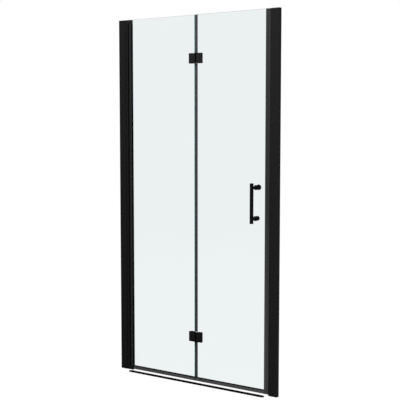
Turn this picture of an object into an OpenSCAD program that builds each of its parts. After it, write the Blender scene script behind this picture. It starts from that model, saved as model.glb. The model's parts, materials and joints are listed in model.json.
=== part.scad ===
// Bifold shower door: two glass leaves, a pivot post on the left and a magnet post on the right.
// Millimetres. X runs along the door, +Y goes into the shower, +Z is up.
// Sections are drawn with Y = 0 at the front of the wall channels; placed() centres the box on Y.

/* [Opening] */
// Width from wall to wall
overall_w = 945; // [920:1:990]
// Height of the jambs and of the glass
overall_h = 1830; // [1760:5:1950]
// How far the fold axis lies left of the middle of both leaves
fold_shift = 5.7; // [0:0.1:12]

/* [Wall channels] */
// Depth of the wall channels, front to back
channel_d = 20; // [19:0.5:24]
// Width of a wall channel's side walls
channel_w = 41.5; // [38:0.5:48]
// Wall thickness of the wall channels
channel_t = 1.6; // [1.2:0.1:2]
// Corner radius of the wall channels
channel_r = 0.8; // [0.4:0.1:1.2]
// Radius of the wall screw holes
wall_hole_r = 2.75; // [2:0.25:3.5]
// Distance from a wall channel's ends to its outer wall screw holes
wall_hole_end = 115; // [70:5:200]

/* [Posts] */
// Gap between a wall channel and the post that slides in it
slide_gap = 0.3; // [0.2:0.05:0.5]
// How deep each post sits in its wall channel
post_seat = 37; // [30:0.5:37]
// How far the left post stands out of its channel
left_reach = 16.5; // [14:0.5:22]
// How far the strike post stands out of its channel
strike_reach = 7; // [6:0.5:12]
// Corner radius of the posts
post_r = 0.5; // [0.3:0.1:1]
// Wall thickness of the posts
post_t = 1.8; // [1.4:0.1:2.2]
// Width of the slot in a post's end
post_slot_w = 8; // [7:0.5:9]
// Depth of the slot in a post's end
post_slot_d = 4.5; // [4:0.5:5.5]
// Thickness of the strike post's end caps
end_cap_t = 2; // [1.5:0.5:3]
// Length of an end cap's plug inside the strike post
end_plug_l = 12; // [8:1:20]
// How far the post seal's head stands over the slot's edges
seal_head_over = 0.8; // [0.4:0.1:1.2]

/* [Fixing screws] */
// Radius of the fixing screws' shanks
fixing_r = 1.75; // [1.5:0.25:2]
// Radius of the fixing screws' heads
fixing_head_r = 3.2; // [3:0.2:4]
// Height of the fixing screws' heads
fixing_head_h = 2; // [1.5:0.25:2.5]
// Distance from a wall channel's ends to the outer fixing screws
fixing_end = 135; // [90:5:220]
// Length of the fixing screws' shanks
fixing_l = 5.2; // [4.5:0.1:8]
// Outer radius of the caps over the fixing screws
screw_cap_r = 5; // [4.8:0.1:6]
// Height of the caps over the fixing screws
screw_cap_h = 3.2; // [3.2:0.1:4]
// Chamfer of the caps over the fixing screws
cap_chamfer = 1; // [0.5:0.25:1.5]

/* [Pivot] */
// Radius of the round pivot profile
pivot_r = 10; // [9.5:0.25:10.5]
// How much of the round profile is cut flat where the glass enters
mouth_cut = 1.5; // [1.2:0.1:2]
// Gap between the left post's end and the round profile
pivot_gap = 2.5; // [2:0.25:3.5]
// Height of the pivot blocks
block_h = 18; // [15:1:24]
// Radius of the pivot blocks' round ends
block_r = 7.5; // [7:0.25:8]
// Gap between the pivot blocks' round ends and the cut glass corners
notch_gap = 2.6; // [2.4:0.1:4]
// Length of a pivot block's shank inside the left post
shank_l = 34; // [28:1:45]
// Radius of the pivot pins
pivot_pin_r = 3; // [2.5:0.25:3]
// Thickness of a pivot block behind its pin
pin_floor = 3; // [2:0.5:6]
// Distance from a shank's end of the left post to its screw
block_screw_in = 14; // [10:1:24]
// Length of the pivot blocks' screws
block_screw_l = 9; // [7:0.5:10]
// How far a pivot pin reaches into the pivot profile
pivot_pin_reach = 17; // [14:1:18]
// Chamfer of the pivot pins' tips
pin_chamfer = 0.6; // [0.4:0.1:1]
// Outer radius of the pivot bushes
pivot_bush_r = 5; // [4.5:0.25:5.5]
// Radius of the pivot bushes' flanges
bush_flange_r = 7; // [6.5:0.25:7.5]
// Thickness of the pivot bushes' flanges
bush_flange_t = 0.8; // [0.6:0.1:1.2]
// Length of a pivot bush's sleeve
bush_l = 16; // [14:1:20]

/* [Glass] */
// Thickness of the glass
glass_t = 6; // [6:1:8]
// Gap between the two leaves' glass edges
glass_gap = 13.4; // [12:0.2:14]
// How deep the glass sits in the pivot profile and in the closing profile
glass_seat = 6.5; // [5.5:0.25:7]
// Thickness of the glazing gaskets
gasket_t = 1; // [0.8:0.1:1.2]
// Thickness of the glazing gaskets behind the glass edge
gasket_back_t = 0.6; // [0.4:0.1:1]

/* [Bottom seals] */
// Height of the seals above the floor
panel_lift = 5.2; // [5:0.1:8]
// Overall height of the bottom seals
rail_h = 18; // [17:0.5:26]
// Height of the drip blade below the glass
blade_h = 7; // [6:0.5:9]
// Wall thickness of the bottom seals
rail_t = 1.4; // [1:0.1:1.8]
// How far the drip blade's foot stands in front of the seal's wall
blade_out = 1.8; // [1:0.2:3]
// Thickness of the drip blade and of the rear fin
blade_t = 1.4; // [1:0.1:1.8]
// How far the rear fin's foot stands behind the seal's wall
fin_lean = 0.4; // [0:0.1:1]
// Height of the plain lip along the top of a bottom seal
lip_h = 3; // [2.4:0.2:6]
// Step between the plain lip and the drip blade's face
lip_step = 0.6; // [0.4:0.1:1]

/* [Hinges] */
// Height of the hinges
hinge_h = 50; // [44:1:60]
// How far the front leaves reach over the glass
leaf_grip = 31; // [28:0.5:38]
// Thickness of the front leaves
leaf_t = 5; // [4.5:0.25:6]
// Distance from the hinge axis to the back plates
back_plate_x = 9.6; // [9:0.2:12]
// Thickness of the back plates
back_plate_t = 4.5; // [4:0.25:6]
// How far the back plates reach over the glass
plate_grip = 27.5; // [25:0.5:35]
// Thickness of the gaskets between hinge and glass
hinge_gasket_t = 0.5; // [0.4:0.1:0.8]
// Distance from the glass's top edge to the upper hinge's middle
upper_hinge_drop = 211; // [120:1:300]
// Height of the lower hinge's middle
lower_hinge_z = 230; // [180:1:300]
// How far the hinge axis lies in front of the front leaves' faces
axis_out = 0.3; // [0.3:0.05:0.6]
// Radius of the hinge knuckles
knuckle_r = 3.5; // [3.4:0.1:4]
// Height of the middle knuckle
knuckle_mid_h = 20; // [16:1:24]
// Thickness of the hinge bushes' flanges
hinge_flange_t = 0.8; // [0.6:0.1:1]
// Radius of the hinge pins
hinge_pin_r = 2; // [1.8:0.1:2]
// Wall thickness of the hinge bushes
hinge_bush_t = 0.55; // [0.5:0.05:0.6]
// Distance between a hinge leaf's two clamp screws
clamp_pitch = 26; // [22:1:28]
// Distance from the back plates' outer edges to the clamp screws
clamp_inset = 7; // [6:0.5:10]
// Radius of the clamp screws
clamp_r = 2.5; // [2:0.25:3]
// Thickness of a front leaf in front of its clamp screws
thread_skin = 1.5; // [1:0.25:2]
// Radius of the clamp screws' countersunk heads
clamp_head_r = 4.6; // [4:0.2:5]
// Radius of the holes in the glass for the clamp screws
clamp_hole_r = 5; // [4.5:0.25:6]

/* [Middle seal] */
// Thickness of the middle seal's walls
seal_t = 1.2; // [1:0.1:1.4]
// How far the middle seal's lip reaches over the front of the fold glass
seal_wrap = 5.4; // [4:0.2:7]
// How far the middle seal's fin reaches behind the pivot glass
fin_reach = 5; // [3:0.5:8]

/* [Closing edge] */
// Width of the closing profile
closing_w = 13.5; // [11:0.5:15]
// Depth of the closing profile, front to back
closing_d = 14.8; // [14:0.2:16]
// How far the door's magnet seal stands out of the closing profile
magnet_w = 10; // [8:0.5:12]
// How far the magnet seal stands back from the closing profile's faces
magnet_step = 0.8; // [0.4:0.1:1.4]
// Corner radius of the door's magnet seal
magnet_corner = 1.2; // [0.8:0.1:2]
// Width of the foot that holds the magnet seal in the closing profile
magnet_foot_w = 6; // [5:0.5:7]
// Depth of the foot that holds the magnet seal in the closing profile
magnet_foot_d = 2.4; // [2:0.1:3]
// Gap between the two magnet seals when the door is shut
latch_gap = 0.6; // [0.6:0.1:1.5]

/* [Handle] */
// Radius of the handle bar
bar_r = 9; // [8:0.5:11]
// Length of the handle bar
bar_l = 192; // [180:2:240]
// Chamfer of the handle bar's ends
bar_chamfer = 1; // [0.5:0.25:2]
// Height of the handle's middle above the floor
handle_z = 922; // [850:2:1050]
// Distance from the handle bar's ends to its posts
post_inset = 22; // [16:1:40]
// Distance from the closing edge to the handle
handle_inset = 76.4; // [60:0.2:100]
// Distance from the glass to the handle bar's axis
standoff = 38; // [28:1:45]
// Radius of the handle posts' necks
neck_r = 7.5; // [5.5:0.5:7.5]
// Radius of the rosettes against the glass
rosette_r = 12; // [10:0.5:13]
// Thickness of the rosettes
rosette_t = 2.5; // [2.5:0.5:5]
// Length of the cone between a post's neck and its rosette
rosette_cone = 2.5; // [2:0.5:8]
// Radius of the inner knob
knob_r = 13.5; // [12:0.5:16]
// How far the inner knob stands behind the glass
knob_l = 25; // [16:1:26]
// Radius of the inner knob's waist
knob_waist_r = 7.5; // [6.5:0.5:9]
// Thickness of the inner knob's head
knob_head_t = 8; // [6:0.5:8]
// Chamfer of the inner knob and of the inner cap
knob_chamfer = 1.5; // [0.5:0.25:2]
// Radius of the inner cap
cap_r = 11.5; // [9:0.5:12]
// How far the inner cap stands behind the glass
cap_l = 15; // [13:1:16]
// Radius of the handle's studs
stud_r = 3; // [2.5:0.25:3]
// How far the studs pass the handle bar's axis
stud_in_bar = 1; // [0:0.5:3]
// Thickness of the knob and the cap behind a stud's end
knob_skin = 4.5; // [3:0.5:5]
// Radius of the holes in the glass for the handle
handle_hole_r = 6; // [5.5:0.25:7]
// Radius of the grub screws in the knob and the cap
grub_r = 1.5; // [1:0.25:1.5]
// Length of the grub screws
grub_l = 4; // [3:0.5:4]
// Distance from the glass washer to the grub screws
grub_in = 3; // [2:0.25:3]

/* [Threshold] */
// Height of the threshold strip
threshold_h = 4.5; // [3:0.1:4.7]
// Depth of the threshold strip, front to back
threshold_d = 23.6; // [15:0.5:28]
// Distance from the wall channels' fronts to the threshold strip
threshold_gap = 16; // [14:0.5:30]
// Distance from the pivot axis and from the closing edge to the strip's ends
threshold_end = 5; // [2:0.5:10]

/* [Hidden] */
// Clearances, by what they are for
press_gap = 0.02; // round pieces that stay together
run_gap = 0.06; // pins that turn in bushes
free_gap = 0.4; // pieces of different leaves
part_gap = 0.2; // loose pieces of one leaf
over = 1; // how far a cut runs past its solid

$fn = 48;

// Stations along X
wall_x = overall_w / 2;
left_post_x1 = -wall_x + channel_w + left_reach;
left_post_x0 = -wall_x + channel_w - post_seat;
strike_x0 = wall_x - channel_w - strike_reach;
strike_x1 = wall_x - channel_w + post_seat;
pivot_x = left_post_x1 + pivot_gap + pivot_r;
close_x = strike_x0 - latch_gap;
fold_x = (pivot_x + close_x) / 2 - fold_shift;
fixing_x = wall_x - channel_w / 2;
block_screw_x = left_post_x0 + block_screw_in;

// Stations along Y
mid_y = channel_d / 2;
glass_y0 = mid_y - glass_t / 2;
glass_y1 = mid_y + glass_t / 2;
leaf_y0 = glass_y0 - hinge_gasket_t - leaf_t;
leaf_y1 = glass_y0 - hinge_gasket_t;
back_y0 = glass_y1 + hinge_gasket_t;
back_y1 = back_y0 + back_plate_t;
axis_y = leaf_y0 - axis_out;
bar_y = glass_y0 - standoff;
post_y0 = channel_t + slide_gap;
post_y1 = channel_d - channel_t - slide_gap;
threshold_y1 = -threshold_gap;
threshold_y0 = threshold_y1 - threshold_d;
knob_y1 = glass_y1 + knob_l;
grub_y = glass_y1 + gasket_t + grub_in;
centre_y = (min(threshold_y0, bar_y - bar_r) + knob_y1) / 2;

// Stations along Z
glass_z0 = panel_lift + blade_h;
rail_z1 = panel_lift + rail_h;
upper_post_z = handle_z + bar_l / 2 - post_inset;
lower_post_z = handle_z - bar_l / 2 + post_inset;
profile_z0 = block_h + bush_flange_t + free_gap;
profile_z1 = overall_h - profile_z0;
handle_zs = [lower_post_z, upper_post_z];
fixing_zs = [fixing_end, overall_h / 2, overall_h - fixing_end];
wall_zs = [wall_hole_end, overall_h / 2, overall_h - wall_hole_end];
block_screw_zs = [block_h + shank_l / 2, overall_h - block_h - shank_l / 2];

// Pivot glass: the corners are cut away around the pivot blocks and bushes
mouth_x = pivot_x + pivot_r - mouth_cut;
pivot_glass_x0 = mouth_x - glass_seat;
pivot_glass_x1 = fold_x - glass_gap * 2 / 3;
notch_x1 = pivot_x + block_r + notch_gap;
notch_z = profile_z0 + max(bush_l, pivot_pin_reach) + over;
pocket_x0 = pivot_glass_x0 - gasket_back_t;
pocket_y0 = glass_y0 - gasket_t;
pocket_y1 = glass_y1 + gasket_t;

// Fold glass and its edge pieces
fold_glass_x0 = fold_x + glass_gap / 3;
fold_seal_x0 = pivot_glass_x1 + 2 * free_gap;
closing_x1 = close_x - magnet_w;
closing_x0 = closing_x1 - closing_w;
fold_glass_x1 = closing_x0 + glass_seat;
closing_y0 = mid_y - closing_d / 2;
closing_y1 = mid_y + closing_d / 2;
handle_x = close_x - handle_inset;

// Hinges
upper_hinge_z = overall_h - upper_hinge_drop;
hinge_zs = [lower_hinge_z, upper_hinge_z];
knuckle_gap = hinge_flange_t + part_gap;
leaf_back = knuckle_r + free_gap;
pin_l = hinge_h - 2 * over;

// Distances from the hinge axis to the glass, to a leaf's and a plate's end, and to the screws,
// on the pivot leaf's side (-1) or on the fold leaf's side (1)
function glass_in(side) = side < 0 ? fold_x - pivot_glass_x1 : fold_glass_x0 - fold_x;
function leaf_end(side) = glass_in(side) + leaf_grip;
function plate_end(side) = glass_in(side) + plate_grip;
function clamp_x(side) = plate_end(side) - clamp_inset;

// Heights of a knuckle group, from the hinge's middle: the middle one, or the two outer ones
mid_spans = [[-knuckle_mid_h / 2, knuckle_mid_h / 2]];
outer_spans = [
    [-hinge_h / 2, -knuckle_mid_h / 2 - knuckle_gap],
    [knuckle_mid_h / 2 + knuckle_gap, hinge_h / 2]
];

// Cross in a fixing screw's head: width, twice the depth, length
cross = [0.8, 2, 3.4];
// One of the three bars that make a clamp screw's hexagon socket: side, twice the depth, width
socket = [1.9, 3, 3.3];

black = [0.09, 0.09, 0.09];
dark_grey = [0.2, 0.2, 0.21];
rubber = [0.05, 0.05, 0.05];
steel = [0.75, 0.76, 0.78];
nylon = [0.12, 0.12, 0.12];
clear_glass = [0.88, 0.95, 0.95, 0.35];

// Moves a piece from section coordinates to the model's own frame
module placed() {
    translate([0, -centre_y, 0]) children();
}

// A block between two opposite corners
module span(low, high) {
    translate(low) cube(high - low);
}

// An upright cylinder from z0 to z1
module upright(x, y, z0, z1, r) {
    translate([x, y, z0]) cylinder(h = z1 - z0, r = r);
}

// A cylinder along Y from y0 to y1
module level(x, z, y0, y1, r) {
    translate([x, y0, z]) rotate([-90, 0, 0]) cylinder(h = y1 - y0, r = r);
}

// A turned piece about a line along Y, from points that give radius and Y
module turned(x, z, points) {
    translate([x, 0, z]) rotate([-90, 0, 0]) rotate_extrude() polygon(points);
}

// A rectangle with four round corners
module round_rect(x0, x1, y0, y1, r) {
    translate([x0 + r, y0]) square([x1 - x0 - 2 * r, y1 - y0]);
    translate([x0, y0 + r]) square([x1 - x0, y1 - y0 - 2 * r]);
    for (x = [x0 + r, x1 - r], y = [y0 + r, y1 - r]) translate([x, y]) circle(r);
}

// Draws a plan section upright from z0 to z1
module raised(z0, z1) {
    translate([0, 0, z0]) linear_extrude(z1 - z0) children();
}

// Wall channels -------------------------------------------------------------------------------

// Plan section of the left wall channel, open to the right
module channel_section() {
    difference() {
        round_rect(-wall_x, -wall_x + channel_w, 0, channel_d, channel_r);
        translate([-wall_x + channel_t, channel_t])
            square([channel_w, channel_d - 2 * channel_t]);
    }
}

// Left wall channel with its wall holes and the clearance holes for the fixing screws
module wall_channel() {
    difference() {
        raised(0, overall_h) channel_section();
        for (z = wall_zs)
            translate([-wall_x - over, mid_y, z]) rotate([0, 90, 0])
                cylinder(h = channel_t + 2 * over, r = wall_hole_r);
        for (z = fixing_zs)
            level(-fixing_x, z, channel_d - channel_t - over, channel_d + over,
                  fixing_r + press_gap);
    }
}

module left_wall_channel() {
    color(black) placed() wall_channel();
}

module right_wall_channel() {
    color(black) placed() mirror([1, 0, 0]) wall_channel();
}

// Posts ---------------------------------------------------------------------------------------

// Plan section of a post that ends at x1 with its slot facing +X
module post_section(x0, x1) {
    web_x = x1 - post_slot_d - post_t;
    difference() {
        round_rect(x0, x1, post_y0, post_y1, post_r);
        translate([x0 + post_t, post_y0 + post_t])
            square([web_x - x0 - post_t, post_y1 - post_y0 - 2 * post_t]);
        translate([x1 - post_slot_d, mid_y - post_slot_w / 2])
            square([post_slot_d + over, post_slot_w]);
    }
}

// The holes that screws at the heights zs cut in a post's back wall
module screw_threads(x, zs) {
    for (z = zs) level(x, z, post_y1 - post_t - over, post_y1 + over, fixing_r + press_gap);
}

module left_post() {
    color(black) placed() difference() {
        raised(block_h, overall_h - block_h) post_section(left_post_x0, left_post_x1);
        screw_threads(-fixing_x, fixing_zs);
        screw_threads(block_screw_x, block_screw_zs);
    }
}

module strike_post() {
    color(black) placed() difference() {
        raised(end_cap_t, overall_h - end_cap_t)
            mirror([1, 0]) post_section(-strike_x1, -strike_x0);
        screw_threads(fixing_x, fixing_zs);
    }
}

// Rubber strip in the left post's slot, with a head that follows the round profile
module left_post_seal() {
    color(rubber) placed() difference() {
        raised(block_h, overall_h - block_h) union() {
            translate([left_post_x1 - post_slot_d, mid_y - post_slot_w / 2])
                square([post_slot_d, post_slot_w]);
            translate([left_post_x1, mid_y - post_slot_w / 2 - seal_head_over])
                square([pivot_gap + over, post_slot_w + 2 * seal_head_over]);
        }
        upright(pivot_x, mid_y, 0, overall_h, pivot_r + free_gap);
    }
}

// Magnet strip in the strike post's slot
module strike_magnet() {
    color(rubber) placed() raised(end_cap_t, overall_h - end_cap_t)
        translate([strike_x0, mid_y - post_slot_w / 2]) square([post_slot_d, post_slot_w]);
}

// End cap of the strike post, drawn at the floor
module strike_cap() {
    plug_x0 = strike_x0 + post_slot_d + post_t + part_gap;
    inset = post_t + part_gap;
    raised(0, end_cap_t) round_rect(strike_x0, strike_x1, post_y0, post_y1, post_r);
    span([plug_x0, post_y0 + inset, end_cap_t],
         [strike_x1 - inset, post_y1 - inset, end_cap_t + end_plug_l]);
}

module strike_bottom_cap() {
    color(black) placed() strike_cap();
}

module strike_top_cap() {
    color(black) placed() translate([0, 0, overall_h]) mirror([0, 0, 1]) strike_cap();
}

// Fixing screws and their caps ----------------------------------------------------------------

// Three screws through the back wall of a channel into the post, at the station x
module fixing_screws(x) {
    for (z = fixing_zs) {
        level(x, z, channel_d - fixing_l, channel_d, fixing_r);
        difference() {
            level(x, z, channel_d, channel_d + fixing_head_h, fixing_head_r);
            for (a = [0, 90])
                translate([x, channel_d + fixing_head_h, z]) rotate([0, a, 0])
                    cube(cross, center = true);
        }
    }
}

// Push-on caps over the screw heads
module screw_caps(x) {
    for (z = fixing_zs) difference() {
        turned(x, z, [
            [0, channel_d],
            [screw_cap_r, channel_d],
            [screw_cap_r, channel_d + screw_cap_h - cap_chamfer],
            [screw_cap_r - cap_chamfer, channel_d + screw_cap_h],
            [0, channel_d + screw_cap_h]
        ]);
        level(x, z, channel_d - over, channel_d + fixing_head_h + part_gap,
              fixing_head_r + part_gap);
    }
}

module left_fixing_screws() {
    color(steel) placed() fixing_screws(-fixing_x);
}

module right_fixing_screws() {
    color(steel) placed() fixing_screws(fixing_x);
}

module left_screw_caps() {
    color(black) placed() screw_caps(-fixing_x);
}

module right_screw_caps() {
    color(black) placed() screw_caps(fixing_x);
}

// Pivot hardware ------------------------------------------------------------------------------

// Pivot block at the foot of the left post: cap, arm, round end and shank
module pivot_block() {
    inset = post_t + part_gap;
    shank_x1 = left_post_x1 - post_slot_d - inset;
    difference() {
        union() {
            raised(0, block_h) {
                round_rect(left_post_x0, left_post_x1, post_y0, post_y1, post_r);
                translate([left_post_x1 - over, mid_y - block_r])
                    square([pivot_x - left_post_x1 + over, 2 * block_r]);
                translate([pivot_x, mid_y]) circle(block_r);
            }
            span([left_post_x0 + inset, post_y0 + inset, block_h],
                 [shank_x1, post_y1 - inset, block_h + shank_l]);
        }
        upright(pivot_x, mid_y, pin_floor, block_h + over, pivot_pin_r + press_gap);
        level(block_screw_x, block_h + shank_l / 2, post_y1 - block_screw_l - part_gap, post_y1,
              fixing_r + press_gap);
    }
}

module bottom_pivot_block() {
    color(black) placed() pivot_block();
}

module top_pivot_block() {
    color(black) placed() translate([0, 0, overall_h]) mirror([0, 0, 1]) pivot_block();
}

// Pivot pin with chamfered tip, drawn at the floor
module pivot_pin() {
    tip_z = block_h + pivot_pin_reach;
    translate([pivot_x, mid_y, 0]) rotate_extrude() polygon([
        [0, pin_floor],
        [pivot_pin_r, pin_floor],
        [pivot_pin_r, tip_z - pin_chamfer],
        [pivot_pin_r - pin_chamfer, tip_z],
        [0, tip_z]
    ]);
}

module bottom_pivot_pin() {
    color(steel) placed() pivot_pin();
}

module top_pivot_pin() {
    color(steel) placed() translate([0, 0, overall_h]) mirror([0, 0, 1]) pivot_pin();
}

// One headless screw per block, through the post's back wall into the shank
module pivot_block_screws() {
    color(steel) placed() for (z = block_screw_zs)
        level(block_screw_x, z, post_y1 - block_screw_l, post_y1, fixing_r);
}

// Flanged bush in the foot of the pivot profile
module pivot_bush() {
    translate([0, 0, profile_z0]) difference() {
        union() {
            upright(pivot_x, mid_y, 0, bush_l, pivot_bush_r);
            upright(pivot_x, mid_y, -bush_flange_t, 0, bush_flange_r);
        }
        upright(pivot_x, mid_y, -bush_flange_t - over, bush_l + over, pivot_pin_r + run_gap);
    }
}

module bottom_pivot_bush() {
    color(nylon) placed() pivot_bush();
}

module top_pivot_bush() {
    color(nylon) placed() translate([0, 0, overall_h]) mirror([0, 0, 1]) pivot_bush();
}

// Pivot leaf ----------------------------------------------------------------------------------

module pivot_profile() {
    bore_l = max(bush_l, pivot_pin_reach) + over;
    color(black) placed() difference() {
        upright(pivot_x, mid_y, profile_z0, profile_z1, pivot_r);
        span([pocket_x0, pocket_y0, 0], [pivot_x + pivot_r, pocket_y1, overall_h]);
        span([mouth_x, mid_y - pivot_r, 0], [pivot_x + pivot_r, mid_y + pivot_r, overall_h]);
        for (z = [profile_z0 - over, profile_z1 - bore_l])
            upright(pivot_x, mid_y, z, z + bore_l + over, pivot_bush_r + press_gap);
    }
}

// U-shaped gasket between the pivot profile and the glass
module pivot_glazing_gasket() {
    color(rubber) placed() raised(notch_z, overall_h - notch_z) difference() {
        translate([pocket_x0, pocket_y0])
            square([mouth_x + gasket_back_t - pocket_x0, pocket_y1 - pocket_y0]);
        translate([pivot_glass_x0, glass_y0]) square([glass_seat + over, glass_t]);
    }
}

// The two clamp screw holes of every hinge, cut along Y
module clamp_holes(side, y0, y1, r) {
    for (hz = hinge_zs, dz = [-clamp_pitch / 2, clamp_pitch / 2])
        level(fold_x + side * clamp_x(side), hz + dz, y0, y1, r);
}

module pivot_glass() {
    color(clear_glass) placed() difference() {
        span([pivot_glass_x0, glass_y0, glass_z0], [pivot_glass_x1, glass_y1, overall_h]);
        for (z = [0, overall_h - notch_z])
            span([pivot_glass_x0 - over, 0, z], [notch_x1, channel_d, z + notch_z]);
        clamp_holes(-1, glass_y0 - over, glass_y1 + over, clamp_hole_r);
    }
}

// Section of a bottom seal in Y and Z: pocket for the glass, sloped drip blade, rear fin
module seal_section() {
    front = glass_y0 - rail_t;
    back = glass_y1 + rail_t;
    floor_z = glass_z0 - rail_t;
    lip_z = rail_z1 - lip_h;
    polygon([
        [front, rail_z1],
        [glass_y0, rail_z1],
        [glass_y0, glass_z0],
        [glass_y1, glass_z0],
        [glass_y1, rail_z1],
        [back, rail_z1],
        [back, floor_z],
        [back + fin_lean, panel_lift],
        [back + fin_lean - blade_t, panel_lift],
        [back - blade_t, floor_z],
        [front + blade_t, floor_z],
        [front - blade_out + blade_t, panel_lift],
        [front - blade_out, panel_lift],
        [front - lip_step, lip_z - lip_step],
        [front, lip_z]
    ]);
}

// A bottom seal from x0 to x1
module bottom_seal(x0, x1) {
    translate([x0, 0, 0]) rotate([90, 0, 90]) linear_extrude(x1 - x0) seal_section();
}

module pivot_bottom_seal() {
    color(dark_grey) placed() bottom_seal(pivot_x + pivot_r + part_gap, pivot_glass_x1);
}

// Hinges --------------------------------------------------------------------------------------

// The front leaf of one side about its axis, reaching along +X, with knuckles at some heights
module front_leaf(side, spans, bore_r) {
    face = axis_out;
    difference() {
        union() {
            span([leaf_back, face, -hinge_h / 2], [leaf_end(side), face + leaf_t, hinge_h / 2]);
            for (s = spans) {
                upright(0, 0, s[0], s[1], knuckle_r);
                span([0, face, s[0]], [leaf_back + over, knuckle_r, s[1]]);
            }
        }
        upright(0, 0, -hinge_h, hinge_h, bore_r);
        for (dz = [-clamp_pitch / 2, clamp_pitch / 2])
            level(clamp_x(side), dz, face + thread_skin, face + leaf_t + over, clamp_r + press_gap);
    }
}

// The leaf of the pivot glass, with the middle knuckle, at height z
module pivot_leaf(z) {
    translate([fold_x, axis_y, z]) mirror([1, 0, 0])
        front_leaf(-1, mid_spans, hinge_pin_r + press_gap);
}

// The leaf of the fold glass, with the two outer knuckles, at height z
module fold_leaf(z) {
    translate([fold_x, axis_y, z])
        front_leaf(1, outer_spans, hinge_pin_r + run_gap + hinge_bush_t + press_gap);
}

module upper_hinge_pivot_leaf() {
    color(black) placed() pivot_leaf(upper_hinge_z);
}

module lower_hinge_pivot_leaf() {
    color(black) placed() pivot_leaf(lower_hinge_z);
}

module upper_hinge_fold_leaf() {
    color(black) placed() fold_leaf(upper_hinge_z);
}

module lower_hinge_fold_leaf() {
    color(black) placed() fold_leaf(lower_hinge_z);
}

// Back plate with countersunk holes, on one side of the fold axis, at height z
module back_plate(side, z) {
    translate([fold_x, 0, z]) mirror([side < 0 ? 1 : 0, 0, 0]) difference() {
        span([back_plate_x, back_y0, -hinge_h / 2], [plate_end(side), back_y1, hinge_h / 2]);
        for (dz = [-clamp_pitch / 2, clamp_pitch / 2]) {
            level(clamp_x(side), dz, back_y0 - over, back_y1 + over, clamp_r + part_gap);
            turned(clamp_x(side), dz, [
                [0, back_y1 - clamp_head_r + clamp_r - part_gap],
                [clamp_r + part_gap, back_y1 - clamp_head_r + clamp_r],
                [clamp_head_r + part_gap, back_y1],
                [clamp_head_r + part_gap, back_y1 + over],
                [0, back_y1 + over]
            ]);
        }
    }
}

module upper_hinge_pivot_back_plate() {
    color(black) placed() back_plate(-1, upper_hinge_z);
}

module lower_hinge_pivot_back_plate() {
    color(black) placed() back_plate(-1, lower_hinge_z);
}

module upper_hinge_fold_back_plate() {
    color(black) placed() back_plate(1, upper_hinge_z);
}

module lower_hinge_fold_back_plate() {
    color(black) placed() back_plate(1, lower_hinge_z);
}

// Gaskets on both faces of the glass; the front ones have sleeves through the glass holes
module hinge_gaskets(side) {
    for (z = hinge_zs) translate([fold_x, 0, z]) mirror([side < 0 ? 1 : 0, 0, 0]) {
        difference() {
            union() {
                span([back_plate_x, leaf_y1, -hinge_h / 2], [leaf_end(side), glass_y0, hinge_h / 2]);
                for (dz = [-clamp_pitch / 2, clamp_pitch / 2])
                    level(clamp_x(side), dz, leaf_y1, glass_y1, clamp_hole_r - part_gap);
            }
            for (dz = [-clamp_pitch / 2, clamp_pitch / 2])
                level(clamp_x(side), dz, leaf_y1 - over, glass_y1 + over, clamp_r + part_gap);
        }
        difference() {
            span([back_plate_x, glass_y1, -hinge_h / 2], [plate_end(side), back_y0, hinge_h / 2]);
            for (dz = [-clamp_pitch / 2, clamp_pitch / 2])
                level(clamp_x(side), dz, glass_y1 - over, back_y0 + over, clamp_r + part_gap);
        }
    }
}

module pivot_hinge_gaskets() {
    color(rubber) placed() hinge_gaskets(-1);
}

module fold_hinge_gaskets() {
    color(rubber) placed() hinge_gaskets(1);
}

// Countersunk clamp screws, from the back plate into the front leaf
module clamp_screws(side) {
    tip_y = leaf_y0 + thread_skin + part_gap;
    for (hz = hinge_zs, dz = [-clamp_pitch / 2, clamp_pitch / 2]) {
        x = fold_x + side * clamp_x(side);
        z = hz + dz;
        difference() {
            turned(x, z, [
                [0, tip_y],
                [clamp_r, tip_y],
                [clamp_r, back_y1 - clamp_head_r + clamp_r],
                [clamp_head_r, back_y1],
                [0, back_y1]
            ]);
            for (a = [0, 60, 120])
                translate([x, back_y1, z]) rotate([0, a, 0]) cube(socket, center = true);
        }
    }
}

module pivot_hinge_screws() {
    color(steel) placed() clamp_screws(-1);
}

module fold_hinge_screws() {
    color(steel) placed() clamp_screws(1);
}

module hinge_pin(z) {
    upright(fold_x, axis_y, z - pin_l / 2, z + pin_l / 2, hinge_pin_r);
}

module upper_hinge_pin() {
    color(steel) placed() hinge_pin(upper_hinge_z);
}

module lower_hinge_pin() {
    color(steel) placed() hinge_pin(lower_hinge_z);
}

// Two flanged bushes in a fold leaf's outer knuckles, their flanges next to the middle knuckle
module hinge_bushes(z) {
    sleeve_r = hinge_pin_r + run_gap + hinge_bush_t;
    flange_z = knuckle_mid_h / 2 + part_gap;
    translate([fold_x, axis_y, z]) for (up = [0, 1]) mirror([0, 0, up]) difference() {
        union() {
            upright(0, 0, flange_z, flange_z + hinge_flange_t, knuckle_r - part_gap);
            upright(0, 0, flange_z, pin_l / 2, sleeve_r);
        }
        upright(0, 0, 0, hinge_h, hinge_pin_r + run_gap);
    }
}

module upper_hinge_bushes() {
    color(nylon) placed() hinge_bushes(upper_hinge_z);
}

module lower_hinge_bushes() {
    color(nylon) placed() hinge_bushes(lower_hinge_z);
}

// Fold leaf -----------------------------------------------------------------------------------

module fold_glass() {
    color(clear_glass) placed() difference() {
        span([fold_glass_x0, glass_y0, glass_z0], [fold_glass_x1, glass_y1, overall_h]);
        clamp_holes(1, glass_y0 - over, glass_y1 + over, clamp_hole_r);
        for (z = handle_zs) level(handle_x, z, glass_y0 - over, glass_y1 + over, handle_hole_r);
    }
}

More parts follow.
